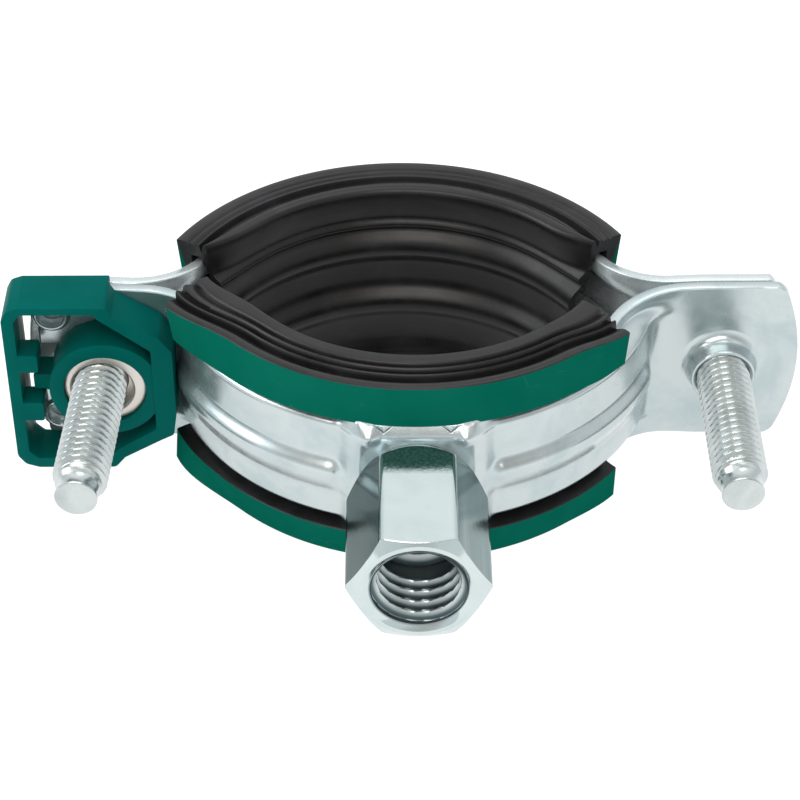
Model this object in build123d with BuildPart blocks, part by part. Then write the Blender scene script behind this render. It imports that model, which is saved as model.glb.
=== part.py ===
from build123d import *
import math
import os

# Rubber lined pipe clamp, closed. Millimetres.
# Frame: X to the right ear, Y from the connection boss to the rear half, Z along the pipe axis.
# Origin: boss axis X = 0, split plane between the ears Y = 0, middle of the band Z = 0.

# ---- driving dimensions -------------------------------------------------
SHEET = 1.2                      # thickness of the pressed strip
EAR_GAP = 0.1                    # each ear stands this far from the split plane
EAR_H = 10.34                    # half width of the strip at the ears
BAND_H = 9.30                    # half width of the strip inside the lining
MARGIN_R = 25.25                 # outer radius of the flat margins of the front band
CROWN_R = 27.35                  # outer radius of the crown of the front band
CROWN_H, MARGIN_H = 5.6, 7.6     # half heights where the crown ends and the margins begin
BEAD_W, BEAD_RISE = 1.9, 1.0     # half width and rise of the stiffening bead
BEAD_START = 18.1                # degrees from the middle of the front half

FX, FY = -0.08, 6.49             # axis of the front half
RX, RY = -1.54, -7.14            # axis of the rear half
REAR_UP = 1.0                    # the rear half is this much larger in radius

LINER_H = 11.96                  # half width of the lining
FRONT_LINER = (-67.0, 52.5)      # degrees each way from the middle of the front half
REAR_LINER = (-62.0, 60.5)       # degrees each way from the middle of the rear half

PAD_W, PAD_H, PAD_Y = 7.0, 5.4, -21.9   # flat pad that carries the boss
BOSS_Y = -37.92                  # mouth of the boss
BOSS_AF = 13.0                   # width across flats
BOSS_M10_R, BOSS_M8_R = 4.6, 3.6 # wall radii at the two threads
BOSS_SINK_R = 5.6

SCREW_R = 2.95                   # M6 shank
RUN = 0.05                       # running clearance on the radius
RS_X, RS_Z = 34.17, -0.30        # axis of the right screw, along Y
LS_X, LS_Z = -34.51, 0.0         # axis of the left screw at the split plane
LS_TILT = 2.73                   # degrees, tip towards -X
RS_TIP, LS_TIP = -23.29, -23.80  # Y of the screw tips
RS_SEAT, LS_SEAT = 2.25, 2.62    # Y of the undersides of the heads
WASHER_R, WASHER_T = 5.0, 0.9
HEAD_R, HEAD_K = 4.9, 3.7

NUT_X, NUT_Z, NUT_R = -34.15, 0.05, 4.55
NUT_MOUTH_X, NUT_MOUTH_R = -34.45, 3.36
NUT_Y = -5.6
RING_X, RING_Z, RING_R, RING_Y = -34.05, 0.15, 6.2, -6.0
CLIP_Y = -6.2
EAR_FRONT = -(EAR_GAP + SHEET)   # front face of the front ears
CLIP_BACK = EAR_FRONT - 0.05

os.makedirs("parts", exist_ok=True)


def half_plane(cx, cy, angle):
    """Plane through a half's axis; local x is the radius, local y is Z."""
    a = math.radians(angle)
    return Plane(origin=(cx, cy, 0), x_dir=(math.cos(a), math.sin(a), 0),
                 z_dir=(math.sin(a), -math.cos(a), 0))


def mirrored(points):
    """Close a section that is drawn from the top edge down to Z = 0."""
    return points + [(r, -z) for r, z in reversed(points)]


def core_section(up):
    t = SHEET * math.tan(math.radians(22.5))
    inner_margin, inner_crown = MARGIN_R + up - SHEET, CROWN_R + up - SHEET
    return [(0, 13), (inner_margin, 13), (inner_margin, MARGIN_H - t),
            (inner_crown, CROWN_H - t), (inner_crown, -(CROWN_H - t)),
            (inner_margin, -(MARGIN_H - t)), (inner_margin, -13), (0, -13)]


def band_section(up):
    return [(MARGIN_R + up - 3, BAND_H), (MARGIN_R + up, BAND_H), (MARGIN_R + up, MARGIN_H),
            (CROWN_R + up, CROWN_H), (CROWN_R + up, -CROWN_H), (MARGIN_R + up, -MARGIN_H),
            (MARGIN_R + up, -BAND_H), (MARGIN_R + up - 3, -BAND_H)]


def liner_section(up):
    """Closed section of the lining: two lips that hook round the band edges and a
    thin wall between them that stands off the band in two humps."""
    outer = [(25.29, MARGIN_H), (25.29, BAND_H + 0.04), (24.01, BAND_H + 0.04), (24.01, 8.1),
             (23.3, 7.8), (22.9, 6.9), (22.3, 5.7), (21.75, 4.8), (21.25, 4.3), (21.1, 3.9),
             (21.1, 3.4), (21.35, 3.0), (22.3, 2.1), (23.2, 1.2), (23.62, 0.7)]
    inner = [(23.0, 0.7), (22.8, 0.8), (21.8, 1.7), (20.8, 2.8), (20.5, 3.2), (20.5, 4.0),
             (21.1, 4.5), (21.7, 5.6), (22.3, 6.9), (22.75, 8.4), (22.7, 9.1), (21.8, 9.5),
             (21.1, 10.1), (20.9, 10.7), (20.95, 11.3), (21.3, 11.8), (21.8, LINER_H),
             (23.0, LINER_H), (23.25, 11.7), (23.5, LINER_H), (24.0, LINER_H), (24.2, 11.75),
             (24.4, LINER_H), (24.9, LINER_H), (25.1, 11.75), (25.3, LINER_H),
             (27.0, LINER_H), (28.0, MARGIN_H)]
    top_out = [(r + up, z) for r, z in outer]
    top_in = [(r + up, z) for r, z in inner]
    low_out = [(r, -z) for r, z in reversed(top_out)]
    low_in = [(r, -z) for r, z in reversed(top_in)]
    return top_out + low_out + low_in + top_in


# ---- front half of the band ---------------------------------------------
with BuildPart() as front_shell:
    with BuildSketch(half_plane(FX, FY, -170)):
        with BuildLine():
            Polyline(band_section(0), close=True)
        make_face()
    revolve(axis=Axis((FX, FY, 0), (0, 0, 1)), revolution_arc=160)
    # stiffening bead, left and right of the pad
    for start, arc in ((-156, 66 - BEAD_START), (-90 + BEAD_START, 78 - BEAD_START)):
        with BuildSketch(half_plane(FX, FY, start)):
            with BuildLine():
                ThreePointArc((CROWN_R - 0.2, -BEAD_W), (CROWN_R + BEAD_RISE, 0), (CROWN_R - 0.2, BEAD_W))
                Line((CROWN_R - 0.2, BEAD_W), (CROWN_R - 0.2, -BEAD_W))
            make_face()
        revolve(axis=Axis((FX, FY, 0), (0, 0, 1)), revolution_arc=arc)
    # pad for the boss
    with Locations((0, (PAD_Y - 19.8) / 2, 0)):
        Box(2 * PAD_W, -19.8 - PAD_Y, 2 * PAD_H)
    # ears
    with BuildSketch(Plane.XZ.offset(EAR_GAP)):
        with BuildLine():
            Polyline([(22, -EAR_H), (40.2, -EAR_H), (40.75, -9.8)])
            ThreePointArc((40.75, -9.8), (42.65, -0.1), (40.75, 9.7))
            Polyline([(40.75, 9.7), (40.2, EAR_H), (22, EAR_H), (22, -EAR_H)])
        make_face()
        with BuildLine():
            Polyline([(-22, -EAR_H), (-40.5, -EAR_H), (-41.6, -9.2), (-41.6, 9.2),
                      (-40.5, EAR_H), (-22, EAR_H)], close=True)
        make_face()
    extrude(amount=SHEET)
    # collar drawn out of the right ear
    with BuildSketch(Plane(origin=(RS_X, 0, RS_Z), x_dir=(1, 0, 0), z_dir=(0, 0, 1))):
        with BuildLine():
            Polyline([(1, -0.6), (1, -3.8), (3.35, -3.8), (3.55, -3.6), (3.62, -2.4),
                      (3.85, -1.8), (4.3, EAR_FRONT), (4.3, -0.6)], close=True)
        make_face()
    revolve(axis=Axis((RS_X, 0, RS_Z), (0, 1, 0)))
    # inside of the band
    with BuildSketch(half_plane(FX, FY, 0)):
        with BuildLine():
            Polyline(core_section(0), close=True)
        make_face()
    revolve(axis=Axis((FX, FY, 0), (0, 0, 1)), mode=Mode.SUBTRACT)
    # inside of the bead
    for start, arc in ((-154, 62.5 - BEAD_START), (-90 + BEAD_START + 1.5, 73 - BEAD_START)):
        with BuildSketch(half_plane(FX, FY, start)):
            with BuildLine():
                ThreePointArc((CROWN_R - SHEET - 0.3, -1.4), (CROWN_R - SHEET + 0.8, 0), (CROWN_R - SHEET - 0.3, 1.4))
                Line((CROWN_R - SHEET - 0.3, 1.4), (CROWN_R - SHEET - 0.3, -1.4))
            make_face()
        revolve(axis=Axis((FX, FY, 0), (0, 0, 1)), revolution_arc=arc, mode=Mode.SUBTRACT)
    # inside of the pad
    with Locations((0, -18.2, 0)):
        Box(2 * PAD_W - 2.2, 5.0, 2 * PAD_H - 1.8, mode=Mode.SUBTRACT)
    # everything behind the split plane
    with Locations((0, -EAR_GAP + 20, 0)):
        Box(100, 40, 40, mode=Mode.SUBTRACT)
    # screw hole in the collar
    with Locations(Location(Plane(origin=(RS_X, 0, RS_Z), x_dir=(1, 0, 0), z_dir=(0, -1, 0)))):
        Cylinder(SCREW_R + RUN, 12, mode=Mode.SUBTRACT)
    # side slot and two small holes in the left ear
    with BuildSketch(Plane.XZ.offset(-1)):
        with BuildLine():
            Line((-43, -3.6), (-34.4, -3.6))
            ThreePointArc((-34.4, -3.6), (-31.1, -0.3), (-34.4, 3.0))
            Polyline([(-34.4, 3.0), (-43, 3.0), (-43, -3.6)])
        make_face()
        with Locations((-40.0, 6.95), (-40.0, -6.95)):
            Circle(1.5)
    extrude(amount=4, mode=Mode.SUBTRACT)
front_shell.part.label = "front_shell"
export_step(front_shell.part, "parts/front_shell.step")

# ---- rear half of the band ----------------------------------------------
with BuildPart() as rear_shell:
    with BuildSketch(half_plane(RX, RY, 10)):
        with BuildLine():
            Polyline(band_section(REAR_UP), close=True)
        make_face()
    revolve(axis=Axis((RX, RY, 0), (0, 0, 1)), revolution_arc=160)
    with BuildSketch(half_plane(RX, RY, 26)):
        with BuildLine():
            ThreePointArc((CROWN_R + 0.8, -BEAD_W), (CROWN_R + 1 + BEAD_RISE, 0), (CROWN_R + 0.8, BEAD_W))
            Line((CROWN_R + 0.8, BEAD_W), (CROWN_R + 0.8, -BEAD_W))
        make_face()
    revolve(axis=Axis((RX, RY, 0), (0, 0, 1)), revolution_arc=128)
    with BuildSketch(Plane.XZ.offset(-EAR_GAP)):
        with BuildLine():
            Polyline([(21, -EAR_H), (39.0, -EAR_H), (39.5, -9.8)])
            ThreePointArc((39.5, -9.8), (40.6, 0), (39.5, 9.8))
            Polyline([(39.5, 9.8), (39.0, EAR_H), (21, EAR_H), (21, -EAR_H)])
        make_face()
        with BuildLine():
            Polyline([(-24, -EAR_H), (-40.6, -EAR_H), (-41.5, -9.4)])
            ThreePointArc((-41.5, -9.4), (-43.0, 0), (-41.5, 9.4))
            Polyline([(-41.5, 9.4), (-40.6, EAR_H), (-24, EAR_H), (-24, -EAR_H)])
        make_face()
    extrude(amount=-SHEET)
    with BuildSketch(half_plane(RX, RY, 0)):
        with BuildLine():
            Polyline(core_section(REAR_UP), close=True)
        make_face()
    revolve(axis=Axis((RX, RY, 0), (0, 0, 1)), mode=Mode.SUBTRACT)
    with BuildSketch(half_plane(RX, RY, 28)):
        with BuildLine():
            ThreePointArc((CROWN_R - 0.5, -1.4), (CROWN_R + 0.6, 0), (CROWN_R - 0.5, 1.4))
            Line((CROWN_R - 0.5, 1.4), (CROWN_R - 0.5, -1.4))
        make_face()
    revolve(axis=Axis((RX, RY, 0), (0, 0, 1)), revolution_arc=124, mode=Mode.SUBTRACT)
    with Locations((0, EAR_GAP - 20, 0)):
        Box(100, 40, 40, mode=Mode.SUBTRACT)
    # oblong screw holes
    with BuildSketch(Plane.XZ.offset(1)):
        with Locations((RS_X, RS_Z)):
            SlotOverall(8.4, 6.6)
        with Locations((-34.15, LS_Z)):
            SlotOverall(9.2, 6.6)
    extrude(amount=-4, mode=Mode.SUBTRACT)
rear_shell.part.label = "rear_shell"
export_step(rear_shell.part, "parts/rear_shell.step")

# ---- rubber linings -------------------------------------------------------
with BuildPart() as front_liner:
    with BuildSketch(half_plane(FX, FY, -90 + FRONT_LINER[0])):
        with BuildLine():
            Polyline(liner_section(0), close=True)
        make_face()
    revolve(axis=Axis((FX, FY, 0), (0, 0, 1)), revolution_arc=FRONT_LINER[1] - FRONT_LINER[0])
front_liner.part.label = "front_liner"
export_step(front_liner.part, "parts/front_liner.step")

with BuildPart() as rear_liner:
    with BuildSketch(half_plane(RX, RY, 90 - REAR_LINER[1])):
        with BuildLine():
            Polyline(liner_section(REAR_UP), close=True)
        make_face()
    revolve(axis=Axis((RX, RY, 0), (0, 0, 1)), revolution_arc=REAR_LINER[1] - REAR_LINER[0])
rear_liner.part.label = "rear_liner"
export_step(rear_liner.part, "parts/rear_liner.step")

# ---- connection boss, welded to the pad ------------------------------------
BOSS_R = BOSS_AF / 2 / math.cos(math.radians(30))
with BuildPart() as connection_boss:
    with BuildSketch(Plane.XZ.offset(-PAD_Y)):
        RegularPolygon(radius=BOSS_R, side_count=6)
    extrude(amount=PAD_Y - BOSS_Y)
    # turned chamfers at the mouth and at the weld
    with BuildSketch(Plane.XY):
        with BuildLine():
            Polyline([(0, PAD_Y), (5.67, PAD_Y), (6.5, -23.03), (BOSS_R + 0.2, -24.67),
                      (BOSS_R + 0.2, BOSS_Y + 0.93), (6.1, BOSS_Y), (0, BOSS_Y)], close=True)
        make_face()
    revolve(axis=Axis((0, 0, 0), (0, 1, 0)), mode=Mode.INTERSECT)
    # M10 at the mouth, a relief, then M8, with countersinks
    with BuildSketch(Plane.XY):
        with BuildLine():
            Polyline([(0, BOSS_Y - 1), (BOSS_SINK_R, BOSS_Y - 1), (BOSS_SINK_R, BOSS_Y), (BOSS_M10_R, BOSS_Y + 1.0),
                      (BOSS_M10_R, BOSS_Y + 8.2), (BOSS_M10_R + 0.4, BOSS_Y + 8.2), (BOSS_M10_R + 0.4, BOSS_Y + 9.2),
                      (BOSS_M8_R, BOSS_Y + 9.8), (BOSS_M8_R, PAD_Y - 0.9), (0, PAD_Y - 0.9)], close=True)
        make_face()
    revolve(axis=Axis((0, 0, 0), (0, 1, 0)), mode=Mode.SUBTRACT)
connection_boss.part.label = "connection_boss"
export_step(connection_boss.part, "parts/connection_boss.step")

# ---- left ear: clip and lock nut -------------------------------------------
OUTER = [(-44.45, -9.2), (-44.45, 9.6), (-43.9, 10.75), (-42.8, 11.15), (-33.3, 11.15), (-32.7, 10.2),
         (-27.8, 7.3), (-26.5, 5.4), (-26.5, -3.5), (-26.9, -6.2), (-28.4, -7.0), (-32.6, -9.5),
         (-33.7, -10.9), (-42.3, -10.9), (-43.8, -10.4)]
INNER = [(-43.3, -8.6), (-43.3, 9.6), (-42.5, 10.6), (-34.7, 10.6), (-34.1, 9.85), (-28.8, 5.6),
         (-28.8, -5.4), (-33.2, -8.3), (-34.4, -9.6), (-42.3, -9.6)]
with BuildPart() as lock_clip:
    # frame in front of the ear
    with BuildSketch(Plane.XZ.offset(-CLIP_BACK)):
        with BuildLine():
            Polyline(OUTER, close=True)
        make_face()
        with BuildLine():
            Polyline(INNER, close=True)
        make_face(mode=Mode.SUBTRACT)
    extrude(amount=CLIP_BACK - CLIP_Y)
    # walls that pass round the end of the ear
    with BuildSketch(Plane.XZ.offset(0.15)):
        with BuildLine():
            Polyline([(-44.45, -9.2), (-44.45, 9.6), (-43.9, 10.75), (-42.8, 11.15), (-33.3, 11.15), (-33.3, 10.6),
                      (-42.5, 10.6), (-43.3, 9.6), (-43.3, -9.4), (-42.3, -10.45), (-33.5, -10.45),
                      (-33.7, -10.9), (-42.3, -10.9), (-43.8, -10.4)], close=True)
        make_face()
    extrude(amount=-CLIP_BACK - 0.15 + 0.5)
    # ring that holds the nut
    with BuildSketch(Plane.XZ.offset(-CLIP_BACK)):
        with Locations((RING_X, RING_Z)):
            Circle(RING_R)
    extrude(amount=CLIP_BACK - RING_Y)
    # stop tabs on the side wall and the key of the ring
    with Locations((-42.35, (CLIP_Y - 3.2) / 2, 3.85)):
        Box(2.3, -3.2 - CLIP_Y, 2.3)
    with Locations((-42.4, (CLIP_Y - 3.2) / 2, -2.84)):
        Box(2.2, -3.2 - CLIP_Y, 2.47)
    with Locations((-40.9, (-4.5 + CLIP_BACK) / 2, 0.16)):
        Box(2.4, 4.5 + CLIP_BACK, 2.0)
    with BuildSketch(Plane.XZ.offset(-1)):
        with Locations((NUT_X, NUT_Z)):
            Circle(NUT_R)
    extrude(amount=9, mode=Mode.SUBTRACT)
lock_clip.part.label = "lock_clip"
export_step(lock_clip.part, "parts/lock_clip.step")

left_axis = Plane(origin=(LS_X, 0, LS_Z), x_dir=(0, 0, 1),
                  z_dir=(-math.sin(math.radians(LS_TILT)), -math.cos(math.radians(LS_TILT)), 0))
right_axis = Plane(origin=(RS_X, 0, RS_Z), x_dir=(0, 0, 1), z_dir=(0, -1, 0))
LEFT_SEAT = -LS_SEAT / math.cos(math.radians(LS_TILT))
LEFT_TIP = -LS_TIP / math.cos(math.radians(LS_TILT))

with BuildPart() as lock_nut:
    with BuildSketch(Plane.XZ.offset(-CLIP_BACK)):
        with Locations((NUT_X, NUT_Z)):
            Circle(NUT_R)
    extrude(amount=CLIP_BACK - NUT_Y)
    with BuildSketch(Plane.XZ.offset(3.9)):
        with Locations((NUT_MOUTH_X, 0)):
            Circle(NUT_MOUTH_R)
    extrude(amount=3, mode=Mode.SUBTRACT)
    with BuildSketch(left_axis.offset(-2)):
        Circle(SCREW_R + RUN)
    extrude(amount=12, mode=Mode.SUBTRACT)
lock_nut.part.label = "lock_nut"
export_step(lock_nut.part, "parts/lock_nut.step")


# ---- closing screws and washers ----------------------------------------------
def closing_screw(axis, seat, tip):
    """Cheese head screw with a cross slot and a dog point; z of the plane runs to the tip."""
    with BuildPart() as screw:
        with BuildSketch(axis.offset(seat)):
            Circle(SCREW_R)
        extrude(amount=tip - 2.6 - seat)
        with BuildSketch(axis.offset(tip - 2.6)):
            Circle(SCREW_R)
        with BuildSketch(axis.offset(tip - 1.9)):
            Circle(2.3)
        loft()
        with BuildSketch(axis.offset(tip - 1.9)):
            Circle(2.3)
        extrude(amount=1.9)
        with BuildSketch(axis.offset(seat)):
            Circle(HEAD_R)
        extrude(amount=-HEAD_K)
        with BuildSketch(axis.offset(seat - HEAD_K)):
            Rectangle(1.5, 12)
            Rectangle(5.6, 1.5)
        extrude(amount=1.5, mode=Mode.SUBTRACT)
    return screw


def plain_washer(axis, seat, bore):
    with BuildPart() as washer:
        with BuildSketch(axis.offset(seat + 0.02)):
            Circle(WASHER_R)
            Circle(bore, mode=Mode.SUBTRACT)
        extrude(amount=WASHER_T)
    return washer


right_screw = closing_screw(right_axis, -RS_SEAT, -RS_TIP)
right_screw.part.label = "right_screw"
export_step(right_screw.part, "parts/right_screw.step")

left_screw = closing_screw(left_axis, LEFT_SEAT, LEFT_TIP)
left_screw.part.label = "left_screw"
export_step(left_screw.part, "parts/left_screw.step")

right_washer = plain_washer(right_axis, -RS_SEAT, SCREW_R + RUN)
right_washer.part.label = "right_washer"
export_step(right_washer.part, "parts/right_washer.step")

left_washer = plain_washer(left_axis, LEFT_SEAT, SCREW_R + RUN)
left_washer.part.label = "left_washer"
export_step(left_washer.part, "parts/left_washer.step")
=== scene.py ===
import bpy
import bmesh
import math
import numpy as np
from mathutils import Vector, Matrix


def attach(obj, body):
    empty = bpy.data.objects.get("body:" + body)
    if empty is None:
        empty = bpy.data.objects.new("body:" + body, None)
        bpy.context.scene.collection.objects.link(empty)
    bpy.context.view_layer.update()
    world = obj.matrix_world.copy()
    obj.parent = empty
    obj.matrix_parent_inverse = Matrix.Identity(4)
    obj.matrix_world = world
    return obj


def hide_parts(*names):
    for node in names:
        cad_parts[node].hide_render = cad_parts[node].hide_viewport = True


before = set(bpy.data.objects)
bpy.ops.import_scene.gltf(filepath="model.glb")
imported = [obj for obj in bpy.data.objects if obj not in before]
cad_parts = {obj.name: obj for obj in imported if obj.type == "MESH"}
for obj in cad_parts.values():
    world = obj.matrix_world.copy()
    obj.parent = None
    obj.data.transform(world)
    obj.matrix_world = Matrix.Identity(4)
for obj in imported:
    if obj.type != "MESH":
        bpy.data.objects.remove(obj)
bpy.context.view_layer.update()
MM = 0.001
rng = np.random.default_rng(7)

# =====================================================================
#  dimensions, millimetres, the same frame as the CAD
# =====================================================================
SHEET = 1.2
EAR_GAP = 0.1
EAR_H, BAND_H = 10.34, 9.30
MARGIN_R, CROWN_R = 25.25, 27.35
FX, FY = -0.08, 6.49
RX, RY = -1.54, -7.14
LINER_H = 11.96
PAD_Y, BOSS_Y, BOSS_AF = -21.9, -37.92, 13.0
SCREW_R = 2.95
RS_X, RS_Z = 34.17, -0.30
LS_X, LS_Z, LS_TILT = -34.51, 0.0, 2.73
RS_TIP, LS_TIP = -23.29, -23.80
RS_SEAT, LS_SEAT = 2.25, 2.62
WASHER_R, WASHER_T, HEAD_R, HEAD_K = 5.0, 0.9, 4.9, 3.7
NUT_X, NUT_Z, NUT_R = -34.15, 0.05, 4.55
NUT_MOUTH_X, NUT_MOUTH_R = -34.45, 3.36
NUT_Y = -5.6
RING_X, RING_Z, RING_R, RING_Y = -34.05, 0.15, 6.2, -6.0
CLIP_Y = -6.2
CLIP_BACK = -1.35


def sstep(x, a, b):
    t = np.clip((np.asarray(x, float) - a) / (b - a), 0.0, 1.0)
    return t * t * (3 - 2 * t)


# =====================================================================
#  mesh helpers
# =====================================================================
def polish(ob, angle=35.0, flip_check=True):
    me = ob.data
    bm = bmesh.new()
    bm.from_mesh(me)
    bmesh.ops.remove_doubles(bm, verts=bm.verts, dist=1e-7)
    bmesh.ops.dissolve_degenerate(bm, edges=bm.edges, dist=1e-8)
    if flip_check:
        bmesh.ops.recalc_face_normals(bm, faces=bm.faces)
    lim = math.radians(angle)
    for f in bm.faces:
        f.smooth = True
    for e in bm.edges:
        if len(e.link_faces) == 2:
            e.smooth = e.calc_face_angle(0.0) < lim
    bm.to_mesh(me)
    bm.free()
    me.update()


def make(name, verts, faces, mats, index=None, angle=35.0, flip_check=True):
    me = bpy.data.meshes.new(name)
    v = np.asarray(verts, float) * MM
    me.from_pydata(v.tolist(), [], [tuple(int(i) for i in f) for f in faces])
    for m in mats:
        me.materials.append(m)
    if index is not None:
        me.polygons.foreach_set("material_index", np.asarray(index, np.int32))
    me.update()
    ob = bpy.data.objects.new(name, me)
    bpy.context.scene.collection.objects.link(ob)
    polish(ob, angle, flip_check)
    return ob


def apply_modifiers(ob):
    dg = bpy.context.evaluated_depsgraph_get()
    me = bpy.data.meshes.new_from_object(ob.evaluated_get(dg))
    old = ob.data
    ob.modifiers.clear()
    ob.data = me
    bpy.data.meshes.remove(old)


def boolean(ob, cutter, op="DIFFERENCE", remove=True, solver="EXACT"):
    m = ob.modifiers.new("b", "BOOLEAN")
    m.operation = op
    m.object = cutter
    m.solver = solver
    bpy.context.view_layer.update()
    apply_modifiers(ob)
    if remove:
        bpy.data.objects.remove(cutter)


def bevel(ob, width, segments=2, angle=40.0, passes=1):
    m = ob.modifiers.new("bev", "BEVEL")
    m.width = width * MM
    m.segments = segments
    m.limit_method = "ANGLE"
    m.angle_limit = math.radians(angle)
    m.use_clamp_overlap = True
    m.harden_normals = False
    m.miter_outer = "MITER_ARC"
    bpy.context.view_layer.update()
    apply_modifiers(ob)


def join(name, objs):
    """Merge meshes with their material lists into one object."""
    mats, verts, faces, index, smooth = [], [], [], [], []
    base = 0
    for o in objs:
        me = o.data
        look = {}
        for i, m in enumerate(me.materials):
            if m not in mats:
                mats.append(m)
            look[i] = mats.index(m)
        co = np.zeros(len(me.vertices) * 3)
        me.vertices.foreach_get("co", co)
        verts.append(co.reshape(-1, 3) / MM)
        for p in me.polygons:
            faces.append([base + k for k in p.vertices])
            index.append(look.get(p.material_index, 0))
        base += len(me.vertices)
    for o in objs:
        bpy.data.objects.remove(o)
    return make(name, np.vstack(verts), faces, mats, index)


def grid_faces(n, m, wrap_m=False, wrap_n=False, base=0):
    """Quads over an n by m grid of vertices, row major."""
    i, j = np.meshgrid(np.arange(n if wrap_n else n - 1), np.arange(m if wrap_m else m - 1), indexing="ij")
    i2, j2 = (i + 1) % n, (j + 1) % m
    q = np.stack([i * m + j, i2 * m + j, i2 * m + j2, i * m + j2], -1).reshape(-1, 4) + base
    return q.tolist()


def lathe(name, profile, origin, axis, mats, n=96, closed=False, ref=None, index=None, angle=35.0):
    """Revolve (radius, along-axis) points. Ends at zero radius are closed to a point."""
    axis = np.asarray(axis, float) / np.linalg.norm(axis)
    ref = np.array([0, 0, 1.0]) if ref is None else np.asarray(ref, float)
    u = ref - axis * (ref @ axis)
    u /= np.linalg.norm(u)
    w = np.cross(axis, u)
    prof = np.asarray(profile, float)
    th = np.linspace(0, 2 * math.pi, n, endpoint=False)
    ring = np.cos(th)[:, None] * u + np.sin(th)[:, None] * w
    P = np.asarray(origin, float) + prof[:, None, 1:2] * axis + prof[:, None, 0:1] * ring[None]
    faces = grid_faces(len(prof), n, wrap_m=True, wrap_n=closed)
    idx = None
    if index is not None:
        idx = []
        rows = len(prof) if closed else len(prof) - 1
        for r in range(rows):
            idx += [index[r]] * n
    return make(name, P.reshape(-1, 3), faces, mats, idx, angle)


def rounded(points, radii, seg=5, closed=True):
    """Polyline with rounded corners."""
    pts = [np.asarray(p, float) for p in points]
    if np.isscalar(radii):
        radii = [radii] * len(pts)
    out = []
    n = len(pts)
    for i in range(n):
        p = pts[i]
        if not closed and i in (0, n - 1):
            out.append(p)
            continue
        a, b = pts[i - 1], pts[(i + 1) % n]
        r = radii[i]
        va, vb = a - p, b - p
        la, lb = np.linalg.norm(va), np.linalg.norm(vb)
        va, vb = va / la, vb / lb
        ang = math.acos(max(-1, min(1, float(va @ vb))))
        if r <= 0 or ang > math.radians(176):
            out.append(p)
            continue
        d = min(r / math.tan(ang / 2), 0.48 * la, 0.48 * lb)
        rr = d * math.tan(ang / 2)
        bis = (va + vb) / np.linalg.norm(va + vb)
        c = p + bis * (rr / math.sin(ang / 2))
        s, e = p + va * d - c, p + vb * d - c
        a0 = math.atan2(s[1], s[0])
        a1 = math.atan2(e[1], e[0])
        da = (a1 - a0 + math.pi) % (2 * math.pi) - math.pi
        for k in range(seg + 1):
            t = a0 + da * k / seg
            out.append(c + rr * np.array([math.cos(t), math.sin(t)]))
    return np.array(out)


def prism(name, loops, y0, y1, mats):
    """Solid between Y = y0 and Y = y1 with an outer loop and hole loops in XZ."""
    bm = bmesh.new()
    edges = []
    for lp in loops:
        vs = [bm.verts.new((p[0] * MM, y0 * MM, p[1] * MM)) for p in lp]
        for i in range(len(vs)):
            edges.append(bm.edges.new((vs[i], vs[(i + 1) % len(vs)])))
    bmesh.ops.triangle_fill(bm, use_beauty=True, use_dissolve=True, edges=edges)
    geo = bmesh.ops.extrude_face_region(bm, geom=bm.faces[:])
    moved = [g for g in geo["geom"] if isinstance(g, bmesh.types.BMVert)]
    bmesh.ops.translate(bm, verts=moved, vec=(0, (y1 - y0) * MM, 0))
    bmesh.ops.recalc_face_normals(bm, faces=bm.faces)
    me = bpy.data.meshes.new(name)
    bm.to_mesh(me)
    bm.free()
    for m in mats:
        me.materials.append(m)
    ob = bpy.data.objects.new(name, me)
    bpy.context.scene.collection.objects.link(ob)
    return ob


def circle(cx, cy, r, n=72):
    t = np.linspace(0, 2 * math.pi, n, endpoint=False)
    return np.stack([cx + r * np.cos(t), cy + r * np.sin(t)], 1)


# =====================================================================
#  materials
# =====================================================================
def new_material(name):
    m = bpy.data.materials.new(name)
    m.use_nodes = True
    nt = m.node_tree
    return m, nt, nt.nodes, nt.links, nt.nodes["Principled BSDF"]


def coords(nodes, links, scale=(1, 1, 1), rot=(0, 0, 0)):
    tc = nodes.new("ShaderNodeTexCoord")
    mp = nodes.new("ShaderNodeMapping")
    mp.inputs["Scale"].default_value = scale
    mp.inputs["Rotation"].default_value = rot
    links.new(tc.outputs["Object"], mp.inputs["Vector"])
    return mp.outputs["Vector"]


def noise(nodes, links, vec, scale, detail=3.0, rough=0.55, distortion=0.0):
    n = nodes.new("ShaderNodeTexNoise")
    n.inputs["Scale"].default_value = scale
    n.inputs["Detail"].default_value = detail
    n.inputs["Roughness"].default_value = rough
    n.inputs["Distortion"].default_value = distortion
    links.new(vec, n.inputs["Vector"])
    return n.outputs["Fac"]


def ramp(nodes, links, fac, stops):
    r = nodes.new("ShaderNodeValToRGB")
    el = r.color_ramp.elements
    while len(el) > 1:
        el.remove(el[0])
    el[0].position, el[0].color = stops[0][0], (*stops[0][1], 1)
    for p, c in stops[1:]:
        e = el.new(p)
        e.color = (*c, 1)
    links.new(fac, r.inputs["Fac"])
    return r.outputs["Color"]


def remap(nodes, links, fac, a, b, c, d):
    m = nodes.new("ShaderNodeMapRange")
    m.inputs["From Min"].default_value = a
    m.inputs["From Max"].default_value = b
    m.inputs["To Min"].default_value = c
    m.inputs["To Max"].default_value = d
    links.new(fac, m.inputs["Value"])
    return m.outputs["Result"]


def mixcol(nodes, links, fac, a, b, mode="MIX"):
    m = nodes.new("ShaderNodeMix")
    m.data_type = "RGBA"
    m.blend_type = mode
    for sock, val in ((m.inputs[0], fac), (m.inputs[6], a), (m.inputs[7], b)):
        if isinstance(val, bpy.types.NodeSocket):
            links.new(val, sock)
        else:
            sock.default_value = val if np.isscalar(val) else (*val, 1)
    return m.outputs[2]


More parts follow.
